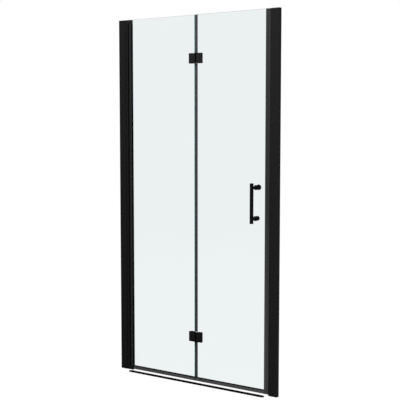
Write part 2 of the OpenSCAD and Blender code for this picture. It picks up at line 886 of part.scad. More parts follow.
// Plan section of the middle seal: a lip on the fold glass's front, a web bonded to its edge,
// and a fin behind the pivot glass
module middle_seal_section() {
    base_x = fold_glass_x0 - seal_t;
    fin_y = glass_y1 + free_gap;
    translate([base_x, glass_y0 - seal_t])
        square([seal_t + seal_wrap, seal_t]);
    translate([base_x, glass_y0 - seal_t])
        square([seal_t, fin_y + seal_t - glass_y0 + seal_t]);
    translate([pivot_glass_x1 - fin_reach, fin_y])
        square([base_x - pivot_glass_x1 + fin_reach + seal_t, seal_t]);
}

// Three lengths of the middle seal, cut around the hinges and the bottom seals
module middle_seal() {
    half = hinge_h / 2 + part_gap;
    stations = [
        [rail_z1, lower_hinge_z - half],
        [lower_hinge_z + half, upper_hinge_z - half],
        [upper_hinge_z + half, overall_h]
    ];
    color(rubber) placed() for (s = stations) raised(s[0], s[1]) middle_seal_section();
}

// It reaches under the middle seal, almost to the pivot leaf's bottom seal
module fold_bottom_seal() {
    color(dark_grey) placed() bottom_seal(fold_seal_x0, closing_x0);
}

module closing_profile() {
    color(dark_grey) placed() raised(panel_lift, overall_h) difference() {
        round_rect(closing_x0, closing_x1, closing_y0, closing_y1, post_r);
        translate([closing_x0 - over, pocket_y0])
            square([fold_glass_x1 + gasket_back_t - closing_x0 + over, pocket_y1 - pocket_y0]);
        translate([closing_x1 - magnet_foot_d, mid_y - magnet_foot_w / 2])
            square([magnet_foot_d + over, magnet_foot_w]);
    }
}

// U-shaped gasket between the closing profile and the glass
module closing_gasket() {
    color(rubber) placed() raised(panel_lift, overall_h) difference() {
        translate([closing_x0, pocket_y0])
            square([fold_glass_x1 + gasket_back_t - closing_x0, pocket_y1 - pocket_y0]);
        translate([closing_x0 - over, glass_y0])
            square([fold_glass_x1 - closing_x0 + over, glass_t]);
    }
}

// Magnet seal on the free edge of the fold leaf
module door_magnet() {
    color(rubber) placed() raised(panel_lift, overall_h) {
        translate([closing_x1 - magnet_foot_d, mid_y - magnet_foot_w / 2])
            square([magnet_foot_d + over, magnet_foot_w]);
        round_rect(closing_x1, close_x, closing_y0 + magnet_step, closing_y1 - magnet_step,
                   magnet_corner);
    }
}

// Handle --------------------------------------------------------------------------------------

// Round bar with chamfered ends and threaded holes for the studs
module handle_bar() {
    half = bar_l / 2;
    color(black) placed() difference() {
        translate([handle_x, bar_y, handle_z]) rotate_extrude() polygon([
            [0, -half],
            [bar_r - bar_chamfer, -half],
            [bar_r, bar_chamfer - half],
            [bar_r, half - bar_chamfer],
            [bar_r - bar_chamfer, half],
            [0, half]
        ]);
        for (z = handle_zs)
            level(handle_x, z, bar_y - stud_in_bar - part_gap, bar_y + bar_r + over,
                  stud_r + press_gap);
    }
}

// Outer post: neck, rosette and a saddle that fits the bar
module handle_post(z) {
    y1 = glass_y0 - gasket_t;
    difference() {
        turned(handle_x, z, [
            [0, bar_y],
            [neck_r, bar_y],
            [neck_r, y1 - rosette_t - rosette_cone],
            [rosette_r, y1 - rosette_t],
            [rosette_r, y1],
            [0, y1]
        ]);
        upright(handle_x, bar_y, z - bar_r, z + bar_r, bar_r + press_gap);
        level(handle_x, z, bar_y, y1 + over, stud_r + part_gap);
    }
}

module upper_handle_post() {
    color(black) placed() handle_post(upper_post_z);
}

module lower_handle_post() {
    color(black) placed() handle_post(lower_post_z);
}

// Washers on both faces of the glass; the front ones have sleeves through the glass holes
module handle_washers() {
    color(rubber) placed() for (z = handle_zs) {
        difference() {
            union() {
                level(handle_x, z, glass_y0 - gasket_t, glass_y0, rosette_r - part_gap);
                level(handle_x, z, glass_y0 - gasket_t, glass_y1, handle_hole_r - part_gap);
            }
            level(handle_x, z, glass_y0 - gasket_t - over, glass_y1 + over, stud_r + part_gap);
        }
        difference() {
            level(handle_x, z, glass_y1, glass_y1 + gasket_t, cap_r - part_gap);
            level(handle_x, z, glass_y1 - over, glass_y1 + gasket_t + over, stud_r + part_gap);
        }
    }
}

// Stud from the bar through the glass into a knob or cap of the given length
module handle_stud(z, length) {
    level(handle_x, z, bar_y - stud_in_bar, glass_y1 + length - knob_skin - part_gap, stud_r);
}

module upper_handle_stud() {
    color(steel) placed() handle_stud(upper_post_z, knob_l);
}

module lower_handle_stud() {
    color(steel) placed() handle_stud(lower_post_z, cap_l);
}

// The blind stud hole and the grub screw hole of an inner knob or cap
module inner_holes(z, length) {
    level(handle_x, z, glass_y1, glass_y1 + length - knob_skin, stud_r + press_gap);
    upright(handle_x, grub_y, z - knob_r, z, grub_r + press_gap);
}

// Round knob on the inside, behind the upper post
module inner_knob() {
    y0 = glass_y1 + gasket_t;
    head_y = knob_y1 - knob_head_t;
    waist = cap_r - knob_waist_r;
    flank = min(waist, (head_y - y0 - 1) / 2);
    color(black) placed() difference() {
        turned(handle_x, upper_post_z, [
            [0, y0],
            [cap_r, y0],
            [cap_r, head_y - 2 * flank],
            [knob_waist_r, head_y - flank],
            [knob_waist_r, head_y],
            [knob_r, head_y + waist],
            [knob_r, knob_y1 - knob_chamfer],
            [knob_r - knob_chamfer, knob_y1],
            [0, knob_y1]
        ]);
        inner_holes(upper_post_z, knob_l);
    }
}

// Flat cap on the inside, behind the lower post
module inner_cap() {
    y0 = glass_y1 + gasket_t;
    y1 = glass_y1 + cap_l;
    color(black) placed() difference() {
        turned(handle_x, lower_post_z, [
            [0, y0],
            [cap_r, y0],
            [cap_r, y1 - knob_chamfer],
            [cap_r - knob_chamfer, y1],
            [0, y1]
        ]);
        inner_holes(lower_post_z, cap_l);
    }
}

// Grub screws that lock the knob and the cap to their studs, from below
module handle_grub_screws() {
    top = stud_r + part_gap;
    color(steel) placed() for (z = handle_zs)
        upright(handle_x, grub_y, z - top - grub_l, z - top, grub_r);
}

// Threshold -----------------------------------------------------------------------------------

// Strip with half-round ends that keeps water in, stuck to the floor in front of the door
module threshold_strip() {
    r = threshold_d / 2;
    y = (threshold_y0 + threshold_y1) / 2;
    x0 = pivot_x + threshold_end + r;
    x1 = close_x - threshold_end - r;
    color(black) placed() raised(0, threshold_h) {
        translate([x0, threshold_y0]) square([x1 - x0, threshold_d]);
        for (x = [x0, x1]) translate([x, y]) circle(r);
    }
}

left_wall_channel();
left_post();
left_post_seal();
top_pivot_block();
bottom_pivot_block();
top_pivot_pin();
bottom_pivot_pin();
pivot_block_screws();
left_fixing_screws();
left_screw_caps();
right_wall_channel();
strike_post();
strike_magnet();
strike_top_cap();
strike_bottom_cap();
right_fixing_screws();
right_screw_caps();
threshold_strip();
pivot_profile();
top_pivot_bush();
bottom_pivot_bush();
pivot_glazing_gasket();
pivot_glass();
pivot_bottom_seal();
upper_hinge_pivot_leaf();
lower_hinge_pivot_leaf();
upper_hinge_pivot_back_plate();
lower_hinge_pivot_back_plate();
pivot_hinge_gaskets();
pivot_hinge_screws();
upper_hinge_pin();
lower_hinge_pin();
fold_glass();
middle_seal();
upper_hinge_fold_leaf();
lower_hinge_fold_leaf();
upper_hinge_fold_back_plate();
lower_hinge_fold_back_plate();
upper_hinge_bushes();
lower_hinge_bushes();
fold_hinge_gaskets();
fold_hinge_screws();
closing_profile();
closing_gasket();
door_magnet();
fold_bottom_seal();
handle_bar();
upper_handle_post();
lower_handle_post();
upper_handle_stud();
lower_handle_stud();
handle_washers();
inner_knob();
inner_cap();
handle_grub_screws();
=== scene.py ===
"""Bifold shower door, dressed round its packed construction. Metres; +Y goes into the shower."""
import json
import math

import bpy
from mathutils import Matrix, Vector

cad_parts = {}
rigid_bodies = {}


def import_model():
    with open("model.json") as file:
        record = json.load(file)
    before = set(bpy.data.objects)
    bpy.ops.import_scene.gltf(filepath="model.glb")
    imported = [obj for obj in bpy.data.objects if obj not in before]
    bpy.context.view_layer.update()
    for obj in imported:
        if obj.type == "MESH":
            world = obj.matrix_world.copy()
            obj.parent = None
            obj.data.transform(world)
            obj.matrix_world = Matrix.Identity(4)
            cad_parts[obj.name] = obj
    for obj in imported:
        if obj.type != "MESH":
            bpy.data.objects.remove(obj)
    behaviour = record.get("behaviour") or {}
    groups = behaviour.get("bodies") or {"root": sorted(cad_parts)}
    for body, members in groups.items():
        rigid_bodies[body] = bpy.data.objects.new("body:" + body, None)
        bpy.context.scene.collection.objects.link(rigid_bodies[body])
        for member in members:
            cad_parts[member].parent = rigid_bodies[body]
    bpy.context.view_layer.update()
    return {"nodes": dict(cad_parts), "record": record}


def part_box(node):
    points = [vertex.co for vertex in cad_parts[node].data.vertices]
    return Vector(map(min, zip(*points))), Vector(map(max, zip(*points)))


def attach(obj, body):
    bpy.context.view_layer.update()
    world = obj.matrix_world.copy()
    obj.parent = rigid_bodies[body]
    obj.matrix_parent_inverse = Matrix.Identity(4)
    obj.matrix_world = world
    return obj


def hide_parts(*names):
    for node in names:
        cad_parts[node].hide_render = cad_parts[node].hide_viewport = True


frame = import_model()

MM = 0.001
FULL_TURN = 2 * math.pi
ACROSS, INWARD, UPWARD = Vector((1, 0, 0)), Vector((0, 1, 0)), Vector((0, 0, 1))

# The front of the wall channels, from which the camera's place is measured
FRONT_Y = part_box("left_wall_channel")[0].y

# Sizes of the door that the frame's boxes don't tell, in metres
CORNER_CUT = (8.1 * MM, 25 * MM)  # width and height of the pivot pane's cut corners
CLAMP_HOLE_R = 5 * MM
HANDLE_HOLE_R = 6 * MM
ARRIS = 0.6 * MM  # the ground edge of the panes
DRILL_REACH = 60 * MM  # how far a drill goes to each side of a spot
CLAMP_PITCH = 26 * MM  # between the two screws of a hinge leaf
CLAMP_R = 2.5 * MM
CLAMP_HEAD_R = 4.6 * MM
CLAMP_HEAD_L = 2 * MM  # length of a clamp screw's countersunk head
THREAD_SKIN = 1.5 * MM  # hinge leaf in front of a screw
PIN_BORE_R = 2.02 * MM  # bore of the pivot leaf's knuckle, on the pin
BUSH_BORE_R = 2.63 * MM  # bore of the fold leaf's knuckles, round the bushes
KNUCKLE_R = 3.5 * MM
KNUCKLE_MID = 10 * MM  # half the height of the middle knuckle
KNUCKLE_GAP = 1 * MM
HINGE_HALF = 25 * MM
LEAF_FACE = 0.3 * MM  # a hinge leaf's face behind the axis
LEAF_BACK = 3.9 * MM  # a hinge leaf's inner edge beside the axis
KNUCKLE_ZONE = LEAF_BACK - 0.1 * MM  # faces closer to the axis belong to a knuckle
BAR_R = 9 * MM
BAR_CHAMFER = 1 * MM
NECK_R = 7.5 * MM
ROSETTE = (12 * MM, 2.5 * MM, 2.5 * MM)  # radius, thickness, length of the cone before it
STUD_R = 3 * MM
STUD_SOCKET = 1.2 * MM  # how far a stud's socket goes past the bar's axis
GRUB = (1.5 * MM, 3 * MM)  # radius, distance behind the washer
KNOB_R = 13.5 * MM
KNOB_HEAD = 8 * MM  # length of the knob's thick end
WAIST_R = 7.5 * MM
CAP_R = 11.5 * MM
INNER_CHAMFER = 1.5 * MM
STUD_SKIN = 4.5 * MM  # knob or cap behind a stud's end
SLACK = 0.02 * MM  # between a bore and what it holds
CLEARANCE = 0.2 * MM  # round what is put through a hole
RAIL_WALL = 1.4 * MM  # the bottom seals' walls
RAIL_LIP = 3 * MM  # height of their plain lip
RAIL_STEP = 0.6 * MM  # step from the lip to the blade
BLADE_OUT = 1.8 * MM  # how far the blade's foot stands out
BLADE_FALL = 7 * MM  # from the glass to the blade's foot
FIN_LEAN = 0.4 * MM  # how far the back fin's foot stands out

# Roundness of the edges, in metres
HARDWARE_EDGE = 0.5 * MM
BAR_EDGE = 0.4 * MM
SEAL_EDGE = 0.2 * MM

# The threshold's section: its upright side, and the inward and upward steps of its crown, all as
# shares of its height
THRESHOLD_SIDE = 0.4
THRESHOLD_CROWN = [(0.1, 0.3), (0.25, 0.2), (0.6, 0.1)]
END_STEPS = 16  # straight pieces in each of its half-round ends

WELD = 1e-6  # corners closer than this, in metres, are one corner
TURN_STEPS = 64  # straight pieces round a turned or round piece
FACING, LEANING = 0.9, 0.5  # how far along an axis a normal faces that way, or leans that way

# Edges sharper than this are rounded, and edges that are still sharper than this keep a hard line
EDGE_ANGLE = math.radians(30)
SMOOTH_ANGLE = math.radians(40)
CROWN_ANGLE = math.radians(45)  # the same for the threshold's crown
FLAT_ANGLE = math.radians(1)  # faces that meet more flatly than this become one face


def middle(node):
    """The middle of a solid's box."""
    low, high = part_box(node)
    return (low + high) / 2


HINGES = [middle("lower_hinge_pin"), middle("upper_hinge_pin")]
POSTS = [middle("lower_handle_stud"), middle("upper_handle_stud")]


# Modelling by hand ---------------------------------------------------------------------------


def only(piece):
    """Selects one piece, and nothing else."""
    bpy.ops.object.select_all(action="DESELECT")
    piece.select_set(True)
    bpy.context.view_layer.objects.active = piece


def settle(piece, name):
    """Names a new piece and puts its place, turn and size into its mesh."""
    piece.name = piece.data.name = name
    only(piece)
    bpy.ops.object.transform_apply(location=True, rotation=True, scale=True)
    return piece


def block(name, low, high):
    """A block between two opposite corners."""
    bpy.ops.object.select_all(action="DESELECT")
    bpy.ops.mesh.primitive_cube_add(size=1, location=(low + high) / 2)
    piece = bpy.context.object
    piece.scale = high - low
    return settle(piece, name)


def rod(name, start, end, radius, sides=TURN_STEPS):
    """A round rod from start to end."""
    bpy.ops.object.select_all(action="DESELECT")
    run = end - start
    bpy.ops.mesh.primitive_cylinder_add(
        vertices=sides, radius=radius, depth=run.length, location=(start + end) / 2
    )
    piece = bpy.context.object
    piece.rotation_mode = "QUATERNION"
    piece.rotation_quaternion = run.to_track_quat("Z", "Y")
    return settle(piece, name)


def draw_line(name, corners):
    """A line drawn corner by corner, left open in edit mode with all of it selected."""
    bpy.ops.object.select_all(action="DESELECT")
    bpy.ops.mesh.primitive_plane_add(size=MM, location=corners[0])
    piece = settle(bpy.context.object, name)
    bpy.ops.object.mode_set(mode="EDIT")
    bpy.ops.mesh.select_mode(type="VERT")
    bpy.ops.mesh.select_all(action="SELECT")
    bpy.ops.mesh.merge(type="CENTER")
    for here, there in zip(corners, corners[1:]):
        bpy.ops.mesh.extrude_region_move(TRANSFORM_OT_translate={"value": there - here})
    bpy.ops.mesh.select_all(action="SELECT")
    return piece


def close_up():
    """Joins doubled corners, turns the faces outwards and leaves edit mode."""
    bpy.ops.mesh.select_all(action="SELECT")
    bpy.ops.mesh.remove_doubles(threshold=WELD)
    bpy.ops.mesh.normals_make_consistent(inside=False)
    bpy.ops.object.mode_set(mode="OBJECT")


def pulled(name, corners, pull):
    """A section drawn corner by corner, filled and pulled out into a length."""
    piece = draw_line(name, corners)
    bpy.ops.mesh.edge_face_add()
    bpy.ops.mesh.extrude_region_move(TRANSFORM_OT_translate={"value": pull})
    close_up()
    return piece


def lathe(name, foot, steps, axis):
    """A turned piece from pairs of radius and distance along its axis, starting at foot."""
    out = UPWARD if axis == INWARD else ACROSS
    piece = draw_line(name, [foot + r * out + d * axis for r, d in steps])
    bpy.ops.mesh.spin(steps=TURN_STEPS, angle=FULL_TURN, center=foot, axis=axis)
    close_up()
    return piece


def joined(piece, tools, way="DIFFERENCE"):
    """Cuts the tools out of the piece, or adds them to it, and clears them away."""
    for tool in tools:
        only(piece)
        step = piece.modifiers.new("joint", "BOOLEAN")
        step.operation, step.solver, step.object = way, "EXACT", tool
        bpy.ops.object.modifier_apply(modifier=step.name)
        bpy.data.objects.remove(tool)


def softened(piece, width, segments=2):
    """Rounds the sharp edges by width, and shades what is round as round."""
    only(piece)
    step = piece.modifiers.new("soft edges", "BEVEL")
    step.width, step.segments = width, segments
    step.limit_method, step.angle_limit = "ANGLE", EDGE_ANGLE
    step.miter_outer = "MITER_ARC"
    bpy.ops.object.modifier_apply(modifier=step.name)
    bpy.ops.object.shade_smooth_by_angle(angle=SMOOTH_ANGLE)
    return piece


def pick(piece, test):
    """Opens a piece in edit mode with just the faces selected that pass a test."""
    only(piece)
    bpy.ops.object.mode_set(mode="EDIT")
    bpy.ops.mesh.select_mode(type="FACE")
    bpy.ops.mesh.select_all(action="DESELECT")
    bpy.ops.object.mode_set(mode="OBJECT")
    for face in piece.data.polygons:
        face.select = test(face)
    bpy.ops.object.mode_set(mode="EDIT")


def copied(piece, name, move):
    """A copy with its own mesh, moved by move."""
    only(piece)
    bpy.ops.object.duplicate()
    bpy.ops.transform.translate(value=move)
    return settle(bpy.context.object, name)


def drilled(piece, spot, radius):
    """Drills a hole from front to back at a spot."""
    reach = DRILL_REACH * INWARD
    joined(piece, [rod("drill", spot - reach, spot + reach, radius)])


def refined(name, node, width):
    """A copy of a solid with whole faces again, and its edges rounded by width."""
    only(frame["nodes"][node])
    bpy.ops.object.duplicate()
    piece = bpy.context.object
    bpy.ops.object.parent_clear(type="CLEAR_KEEP_TRANSFORM")
    # The solid's own notes would make the copy count as the solid
    for note in list(piece.keys()):
        del piece[note]
    piece.name = piece.data.name = name
    bpy.ops.object.mode_set(mode="EDIT")
    bpy.ops.mesh.select_all(action="SELECT")
    bpy.ops.mesh.remove_doubles(threshold=WELD)
    bpy.ops.mesh.dissolve_limited(angle_limit=FLAT_ANGLE)
    close_up()
    return softened(piece, width)


def dressed(piece, body, nodes, slot, *finishes):
    """Puts a piece on its body in place of some solids, with its finishes."""
    for finish in finishes:
        piece.data.materials.append(finish)
    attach(piece, body)
    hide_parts(*nodes)


# Finishes ------------------------------------------------------------------------------------


# How a grain is drawn out along X, Y and Z: below 1 is longer
EVEN = (1, 1, 1)
ALONG_PROFILE = (1, 1, 0.25)
ALONG_SEAL = (1, 1, 0.1)
ALONG_RAIL = (0.1, 1, 1)

RELIEF_STRENGTH = 0.5
ROUGHNESS_DRIFT = 0.09  # metres over which a roughness drifts
PAINTED_GROOVE_SHADE = 0.0015  # painted shade: what the profiles turn to beside a groove or a mouth


def new_finish(name):
    """An empty finish with its shader, and the place of a point on the piece in metres."""
    made = bpy.data.materials.new(name)
    made.use_nodes = True
    tree = made.node_tree
    shader = tree.nodes["Principled BSDF"]
    place = tree.nodes.new("ShaderNodeTexCoord").outputs["Object"]
    return made, tree, shader, place


def grain(tree, place, size, detail, stretch=EVEN):
    """Noise whose spots are about size metres across, longer where stretch is below 1."""
    turn = tree.nodes.new("ShaderNodeMapping")
    turn.inputs["Scale"].default_value = stretch
    noise = tree.nodes.new("ShaderNodeTexNoise")
    noise.inputs["Scale"].default_value = 1 / size
    noise.inputs["Detail"].default_value = detail
    tree.links.new(place, turn.inputs["Vector"])
    tree.links.new(turn.outputs["Vector"], noise.inputs["Vector"])
    return noise.outputs["Fac"]


def spread(tree, source, low, high):
    """Maps noise, mostly between 0.25 and 0.75, to numbers between low and high."""
    scale = tree.nodes.new("ShaderNodeMapRange")
    scale.inputs["From Min"].default_value = 0.25
    scale.inputs["From Max"].default_value = 0.75
    scale.inputs["To Min"].default_value = low
    scale.inputs["To Max"].default_value = high
    tree.links.new(source, scale.inputs["Value"])
    return scale.outputs["Result"]


def shades(tree, source, dark, light):
    """Mixes two colours by a source between 0 and 1."""
    mix = tree.nodes.new("ShaderNodeMix")
    mix.data_type = "RGBA"
    mix.inputs["A"].default_value = (*dark, 1)
    mix.inputs["B"].default_value = (*light, 1)
    tree.links.new(source, mix.inputs["Factor"])
    return mix.outputs["Result"]


def relief(tree, shader, source, depth):
    """Gives the surface a relief of depth metres."""
    bump = tree.nodes.new("ShaderNodeBump")
    bump.inputs["Strength"].default_value = RELIEF_STRENGTH
    bump.inputs["Distance"].default_value = depth
    tree.links.new(source, bump.inputs["Height"])
    tree.links.new(bump.outputs["Normal"], shader.inputs["Normal"])


def solid_finish(name, dark, light, rough, size, depth, shine, metal=0.0, stretch=EVEN):
    """A finish in two close shades, with relief as fine as size and a roughness that drifts."""
    made, tree, shader, place = new_finish(name)
    fine = grain(tree, place, size, detail=4.0, stretch=stretch)
    broad = grain(tree, place, ROUGHNESS_DRIFT, detail=2.0)
    tree.links.new(shades(tree, spread(tree, fine, 0, 1), dark, light), shader.inputs["Base Color"])
    tree.links.new(spread(tree, broad, *rough), shader.inputs["Roughness"])
    shader.inputs["Specular IOR Level"].default_value = shine
    shader.inputs["Metallic"].default_value = metal
    relief(tree, shader, fine, depth)
    return made


def grey(level):
    """A neutral colour."""
    return (level, level, level)


def paint_shading_along(made, tone, axis, start, end):
    """Paints light or shade into a finish's colour: it turns to another tone between two places
    along an axis.
    """
    tree = made.node_tree
    shader = tree.nodes["Principled BSDF"]
    colour = shader.inputs["Base Color"].links[0].from_socket
    place = tree.nodes.new("ShaderNodeTexCoord").outputs["Object"]
    part = tree.nodes.new("ShaderNodeSeparateXYZ")
    side = tree.nodes.new("ShaderNodeMapRange")
    mix = tree.nodes.new("ShaderNodeMix")
    side.inputs["From Min"].default_value = start
    side.inputs["From Max"].default_value = end
    mix.data_type = "RGBA"
    mix.inputs["B"].default_value = (*grey(tone), 1)
    tree.links.new(place, part.inputs["Vector"])
    tree.links.new(part.outputs[axis], side.inputs["Value"])
    tree.links.new(side.outputs["Result"], mix.inputs["Factor"])
    tree.links.new(colour, mix.inputs["A"])
    tree.links.new(mix.outputs["Result"], shader.inputs["Base Color"])


def powder_coat(name, dark, light, shine=0.02):
    """Fine matt powder coat, drawn out along a profile."""
    return solid_finish(
        name, grey(dark), grey(light),
        rough=(0.5, 0.6), size=0.0011, depth=0.00005, shine=shine, stretch=ALONG_PROFILE,
    )


def satin_black(name, dark, light, rough, shine=0.01):
    """Smooth black on turned and cut hardware."""
    return solid_finish(
        name, grey(dark), grey(light), rough, size=0.0006, depth=0.00003, shine=shine
    )


def rubber(name, dark, light, rough, depth, shine, stretch):
    """Extruded rubber or soft plastic, with fine lines along its length."""
    return solid_finish(
        name, dark, light, rough, size=0.0014, depth=depth, shine=shine, stretch=stretch
    )


POST_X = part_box("left_post")[1].x
CHANNEL_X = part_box("left_wall_channel")[1].x
MOUTH_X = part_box("pivot_profile")[1].x

powder_black = powder_coat("powder_coat_black", 0.0065, 0.0115)
# Darker copies of the black powder coat for the left jamb, which carry painted light from above and
# painted shade beside its joints
powder_post_painted_shading = powder_coat("powder_coat_post_painted_shading", 0.0042, 0.0082)
powder_channel_painted_shading = powder_coat("powder_coat_channel_painted_shading", 0.0042, 0.0082)
# A lighter copy of the black powder coat on the round pivot profile: the lighter tone is a painted
# highlight, and it turns black towards the mouth as painted shade
powder_round_painted_shading = powder_coat("powder_coat_round_painted_shading", 0.0160, 0.0225, shine=0.0)
# The grey powder coat turns lighter towards the foot: painted light from the floor
powder_grey_painted_light = powder_coat("powder_coat_grey_painted_light", 0.0185, 0.0245)
# The satin black of the hinges, back plates and pivot blocks turns lighter towards the top: painted
# light from above
hinge_black_painted_light = satin_black("satin_black_hinges_painted_light", 0.0046, 0.0096, (0.42, 0.52))
# Near-black knuckles are painted shade: the knuckles have the hinges' finish, and this darkness
# stands for the shade in the gap between the leaves
knuckle_painted_shade = satin_black("knuckle_painted_shade_black", 0.0006, 0.0016, (0.5, 0.6), shine=0.0)
handle_black = satin_black("satin_black_handle", 0.0026, 0.0055, (0.4, 0.5))
plastic_black = solid_finish(
    "moulded_black_plastic", grey(0.008), grey(0.014),
    rough=(0.5, 0.62), size=0.0008, depth=0.00008, shine=0.05,
)
threshold_black = solid_finish(
    "black_silicone", grey(0.002), grey(0.005),
    rough=(0.5, 0.65), size=0.002, depth=0.00008, shine=0.0,
)
seal_black = rubber(
    "black_rubber", grey(0.002), grey(0.005),
    rough=(0.6, 0.75), depth=0.00006, shine=0.02, stretch=ALONG_SEAL,
)
seal_dull = rubber(
    "dull_seal_rubber", (0.038, 0.034, 0.036), (0.050, 0.044, 0.047),
    rough=(0.6, 0.75), depth=0.00006, shine=0.02, stretch=ALONG_SEAL,
)
seal_lip = rubber(
    "dark_seal_lip", grey(0.002), grey(0.004),
    rough=(0.45, 0.6), depth=0.00005, shine=0.0, stretch=ALONG_RAIL,
)
seal_blade = rubber(
    "grey_seal_blade", grey(0.056), grey(0.080),
    rough=(0.4, 0.55), depth=0.00005, shine=0.02, stretch=ALONG_RAIL,
)
# The magnet seal turns lighter towards the foot: painted light from the floor
magnet_rubber_painted_light = rubber(
    "grey_magnet_seal_painted_light", grey(0.0157), grey(0.0213),
    rough=(0.5, 0.65), depth=0.00005, shine=0.08, stretch=ALONG_SEAL,
)
steel_bright = solid_finish(
    "stainless_steel", grey(0.5), grey(0.62),
    rough=(0.22, 0.34), size=0.0004, depth=0.00001, shine=0.5, metal=1.0,
)
nylon_black = solid_finish(
    "black_nylon", grey(0.005), grey(0.009),
    rough=(0.45, 0.55), size=0.0012, depth=0.00003, shine=0.05,
)

# Painted light along the height: lighter tops on the left jamb and the black hardware stand for
# light from above, and lighter feet on the grey profile and magnet seal for light from the floor.
# Which finish, its tone, and the heights in metres where it starts and where it would be all of
# that tone
for finish, tone, start, end in [
    (powder_post_painted_shading, 0.0100, 0.0, 2.0),
    (powder_channel_painted_shading, 0.0100, 0.0, 2.0),
    (powder_grey_painted_light, 0.070, 1.0, -0.1),
    (hinge_black_painted_light, 0.0135, 0.25, 2.15),
    (magnet_rubber_painted_light, 0.052, 0.9, -0.1),
]:
    paint_shading_along(finish, tone, "Z", start, end)

# Painted shade on the left jamb beside its joints and on the round profile towards its mouth: which
# finish, the edge beside the joint, and the distances from it where the painted shade starts and
# where it is full
for finish, edge_x, start, end in [
    (powder_post_painted_shading, POST_X, 3 * MM, 1.5 * MM),
    (powder_channel_painted_shading, CHANNEL_X, 1.6 * MM, 0.6 * MM),
    (powder_round_painted_shading, MOUTH_X, 3.3 * MM, 0.7 * MM),
]:
    paint_shading_along(finish, PAINTED_GROOVE_SHADE, "X", edge_x - start, edge_x - end)


GLASS_TINTS = (0.910, 0.939, 0.939), (0.914, 0.942, 0.942)
MIRROR_ROUGHNESS = 0.02
MIRROR_LEAST, MIRROR_RISE = 0.01, 0.98  # mirrored share head on, and how much a slant adds


def pane_finish():
    """Clear float glass seen through its faces: it tints what is behind it and mirrors a bit."""
    made, tree, shader, place = new_finish("clear_glass_face")
    tree.nodes.remove(shader)
    through = tree.nodes.new("ShaderNodeBsdfTransparent")
    mirror = tree.nodes.new("ShaderNodeBsdfGlossy")
    slant = tree.nodes.new("ShaderNodeLayerWeight")
    rise = tree.nodes.new("ShaderNodeMath")
    share = tree.nodes.new("ShaderNodeMath")
    mix = tree.nodes.new("ShaderNodeMixShader")
    wave = grain(tree, place, size=0.35, detail=1.0)
    tint = shades(tree, spread(tree, wave, 0, 1), *GLASS_TINTS)
    mirror.inputs["Roughness"].default_value = MIRROR_ROUGHNESS
    # The mirrored share rises with the fifth power of the slant, on both sides of a face
    slant.inputs["Blend"].default_value = 0.5
    rise.operation, share.operation = "POWER", "MULTIPLY_ADD"
    rise.inputs[1].default_value = 5
    share.inputs[1].default_value = MIRROR_RISE
    share.inputs[2].default_value = MIRROR_LEAST
    tree.links.new(slant.outputs["Facing"], rise.inputs[0])
    tree.links.new(rise.outputs["Value"], share.inputs[0])
    tree.links.new(tint, through.inputs["Color"])
    tree.links.new(share.outputs["Value"], mix.inputs["Fac"])
    tree.links.new(through.outputs["BSDF"], mix.inputs[1])
    tree.links.new(mirror.outputs["BSDF"], mix.inputs[2])
    tree.links.new(mix.outputs["Shader"], tree.nodes["Material Output"].inputs["Surface"])
    return made


glass_face = pane_finish()
glass_edge = solid_finish(
    "polished_glass_edge", (0.024, 0.19, 0.185), (0.034, 0.215, 0.21),
    rough=(0.12, 0.2), size=0.004, depth=0.00002, shine=0.1,
)
glass_rim = solid_finish(
    "dark_glass_rim", (0.018, 0.040, 0.040), (0.026, 0.055, 0.055),
    rough=(0.15, 0.25), size=0.004, depth=0.00002, shine=0.1,
)

# The finish of each material slot of the record
FINISH = {
    "black_profile": powder_black,
    "grey_profile": powder_grey_painted_light,
    "black_hardware": hinge_black_painted_light,
    "black_plastic": plastic_black,
    "threshold_rubber": threshold_black,
    "seal_grey": seal_blade,
    "seal_rubber": seal_black,
    "magnet_seal": magnet_rubber_painted_light,
    "steel": steel_bright,
    "nylon": nylon_black,
    "clear_glass": glass_face,
}

for part in frame["record"]["subparts"]:
    node = frame["nodes"][part["node"]]
    node.data.materials.clear()
    node.data.materials.append(FINISH[part["material_slot"]])
# Solids with a finish of their own: the middle seal's dull rubber, and on the left jamb copies of
# the black powder coat with painted light and shade
for node, finish in {
    "middle_seal": seal_dull,
    "pivot_profile": powder_round_painted_shading,
    "left_post": powder_post_painted_shading,
    "left_wall_channel": powder_channel_painted_shading,
}.items():
    frame["nodes"][node].data.materials[0] = finish

# Which of a piece's finishes a face has: on a pane, on a hinge's front leaf, on a bottom seal
FACE, EDGE, RIM, BONDED = 0, 1, 2, 3
PLATE, KNUCKLE = 0, 1
LIP, BLADE = 0, 1

# Glass ---------------------------------------------------------------------------------------


def pane(name, node, body, corners, spots):
    """A pane cut to its corners on the front face, drilled, and ground along its edges."""
    low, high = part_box(node)
    piece = pulled(name, corners, (high.y - low.y) * INWARD)
    for spot, radius in spots:
        drilled(piece, spot, radius)
    softened(piece, ARRIS, segments=1)
    dressed(piece, body, [node], "clear_glass", glass_face, glass_edge, glass_rim, seal_black)
    for face in piece.data.polygons:
        if abs(face.normal.y) > FACING:
            face.material_index = FACE
        elif abs(face.normal.z) > LEANING:
            face.material_index = RIM
        else:
            face.material_index = EDGE
    return piece


def clamp_spots(node):
    """Where the clamp screws of one side of the hinges stand: two low ones, then two high ones."""
    x = middle(node).x
    return [
        Vector((x, hinge.y, hinge.z + step))
        for hinge in HINGES
        for step in (-CLAMP_PITCH / 2, CLAMP_PITCH / 2)
    ]


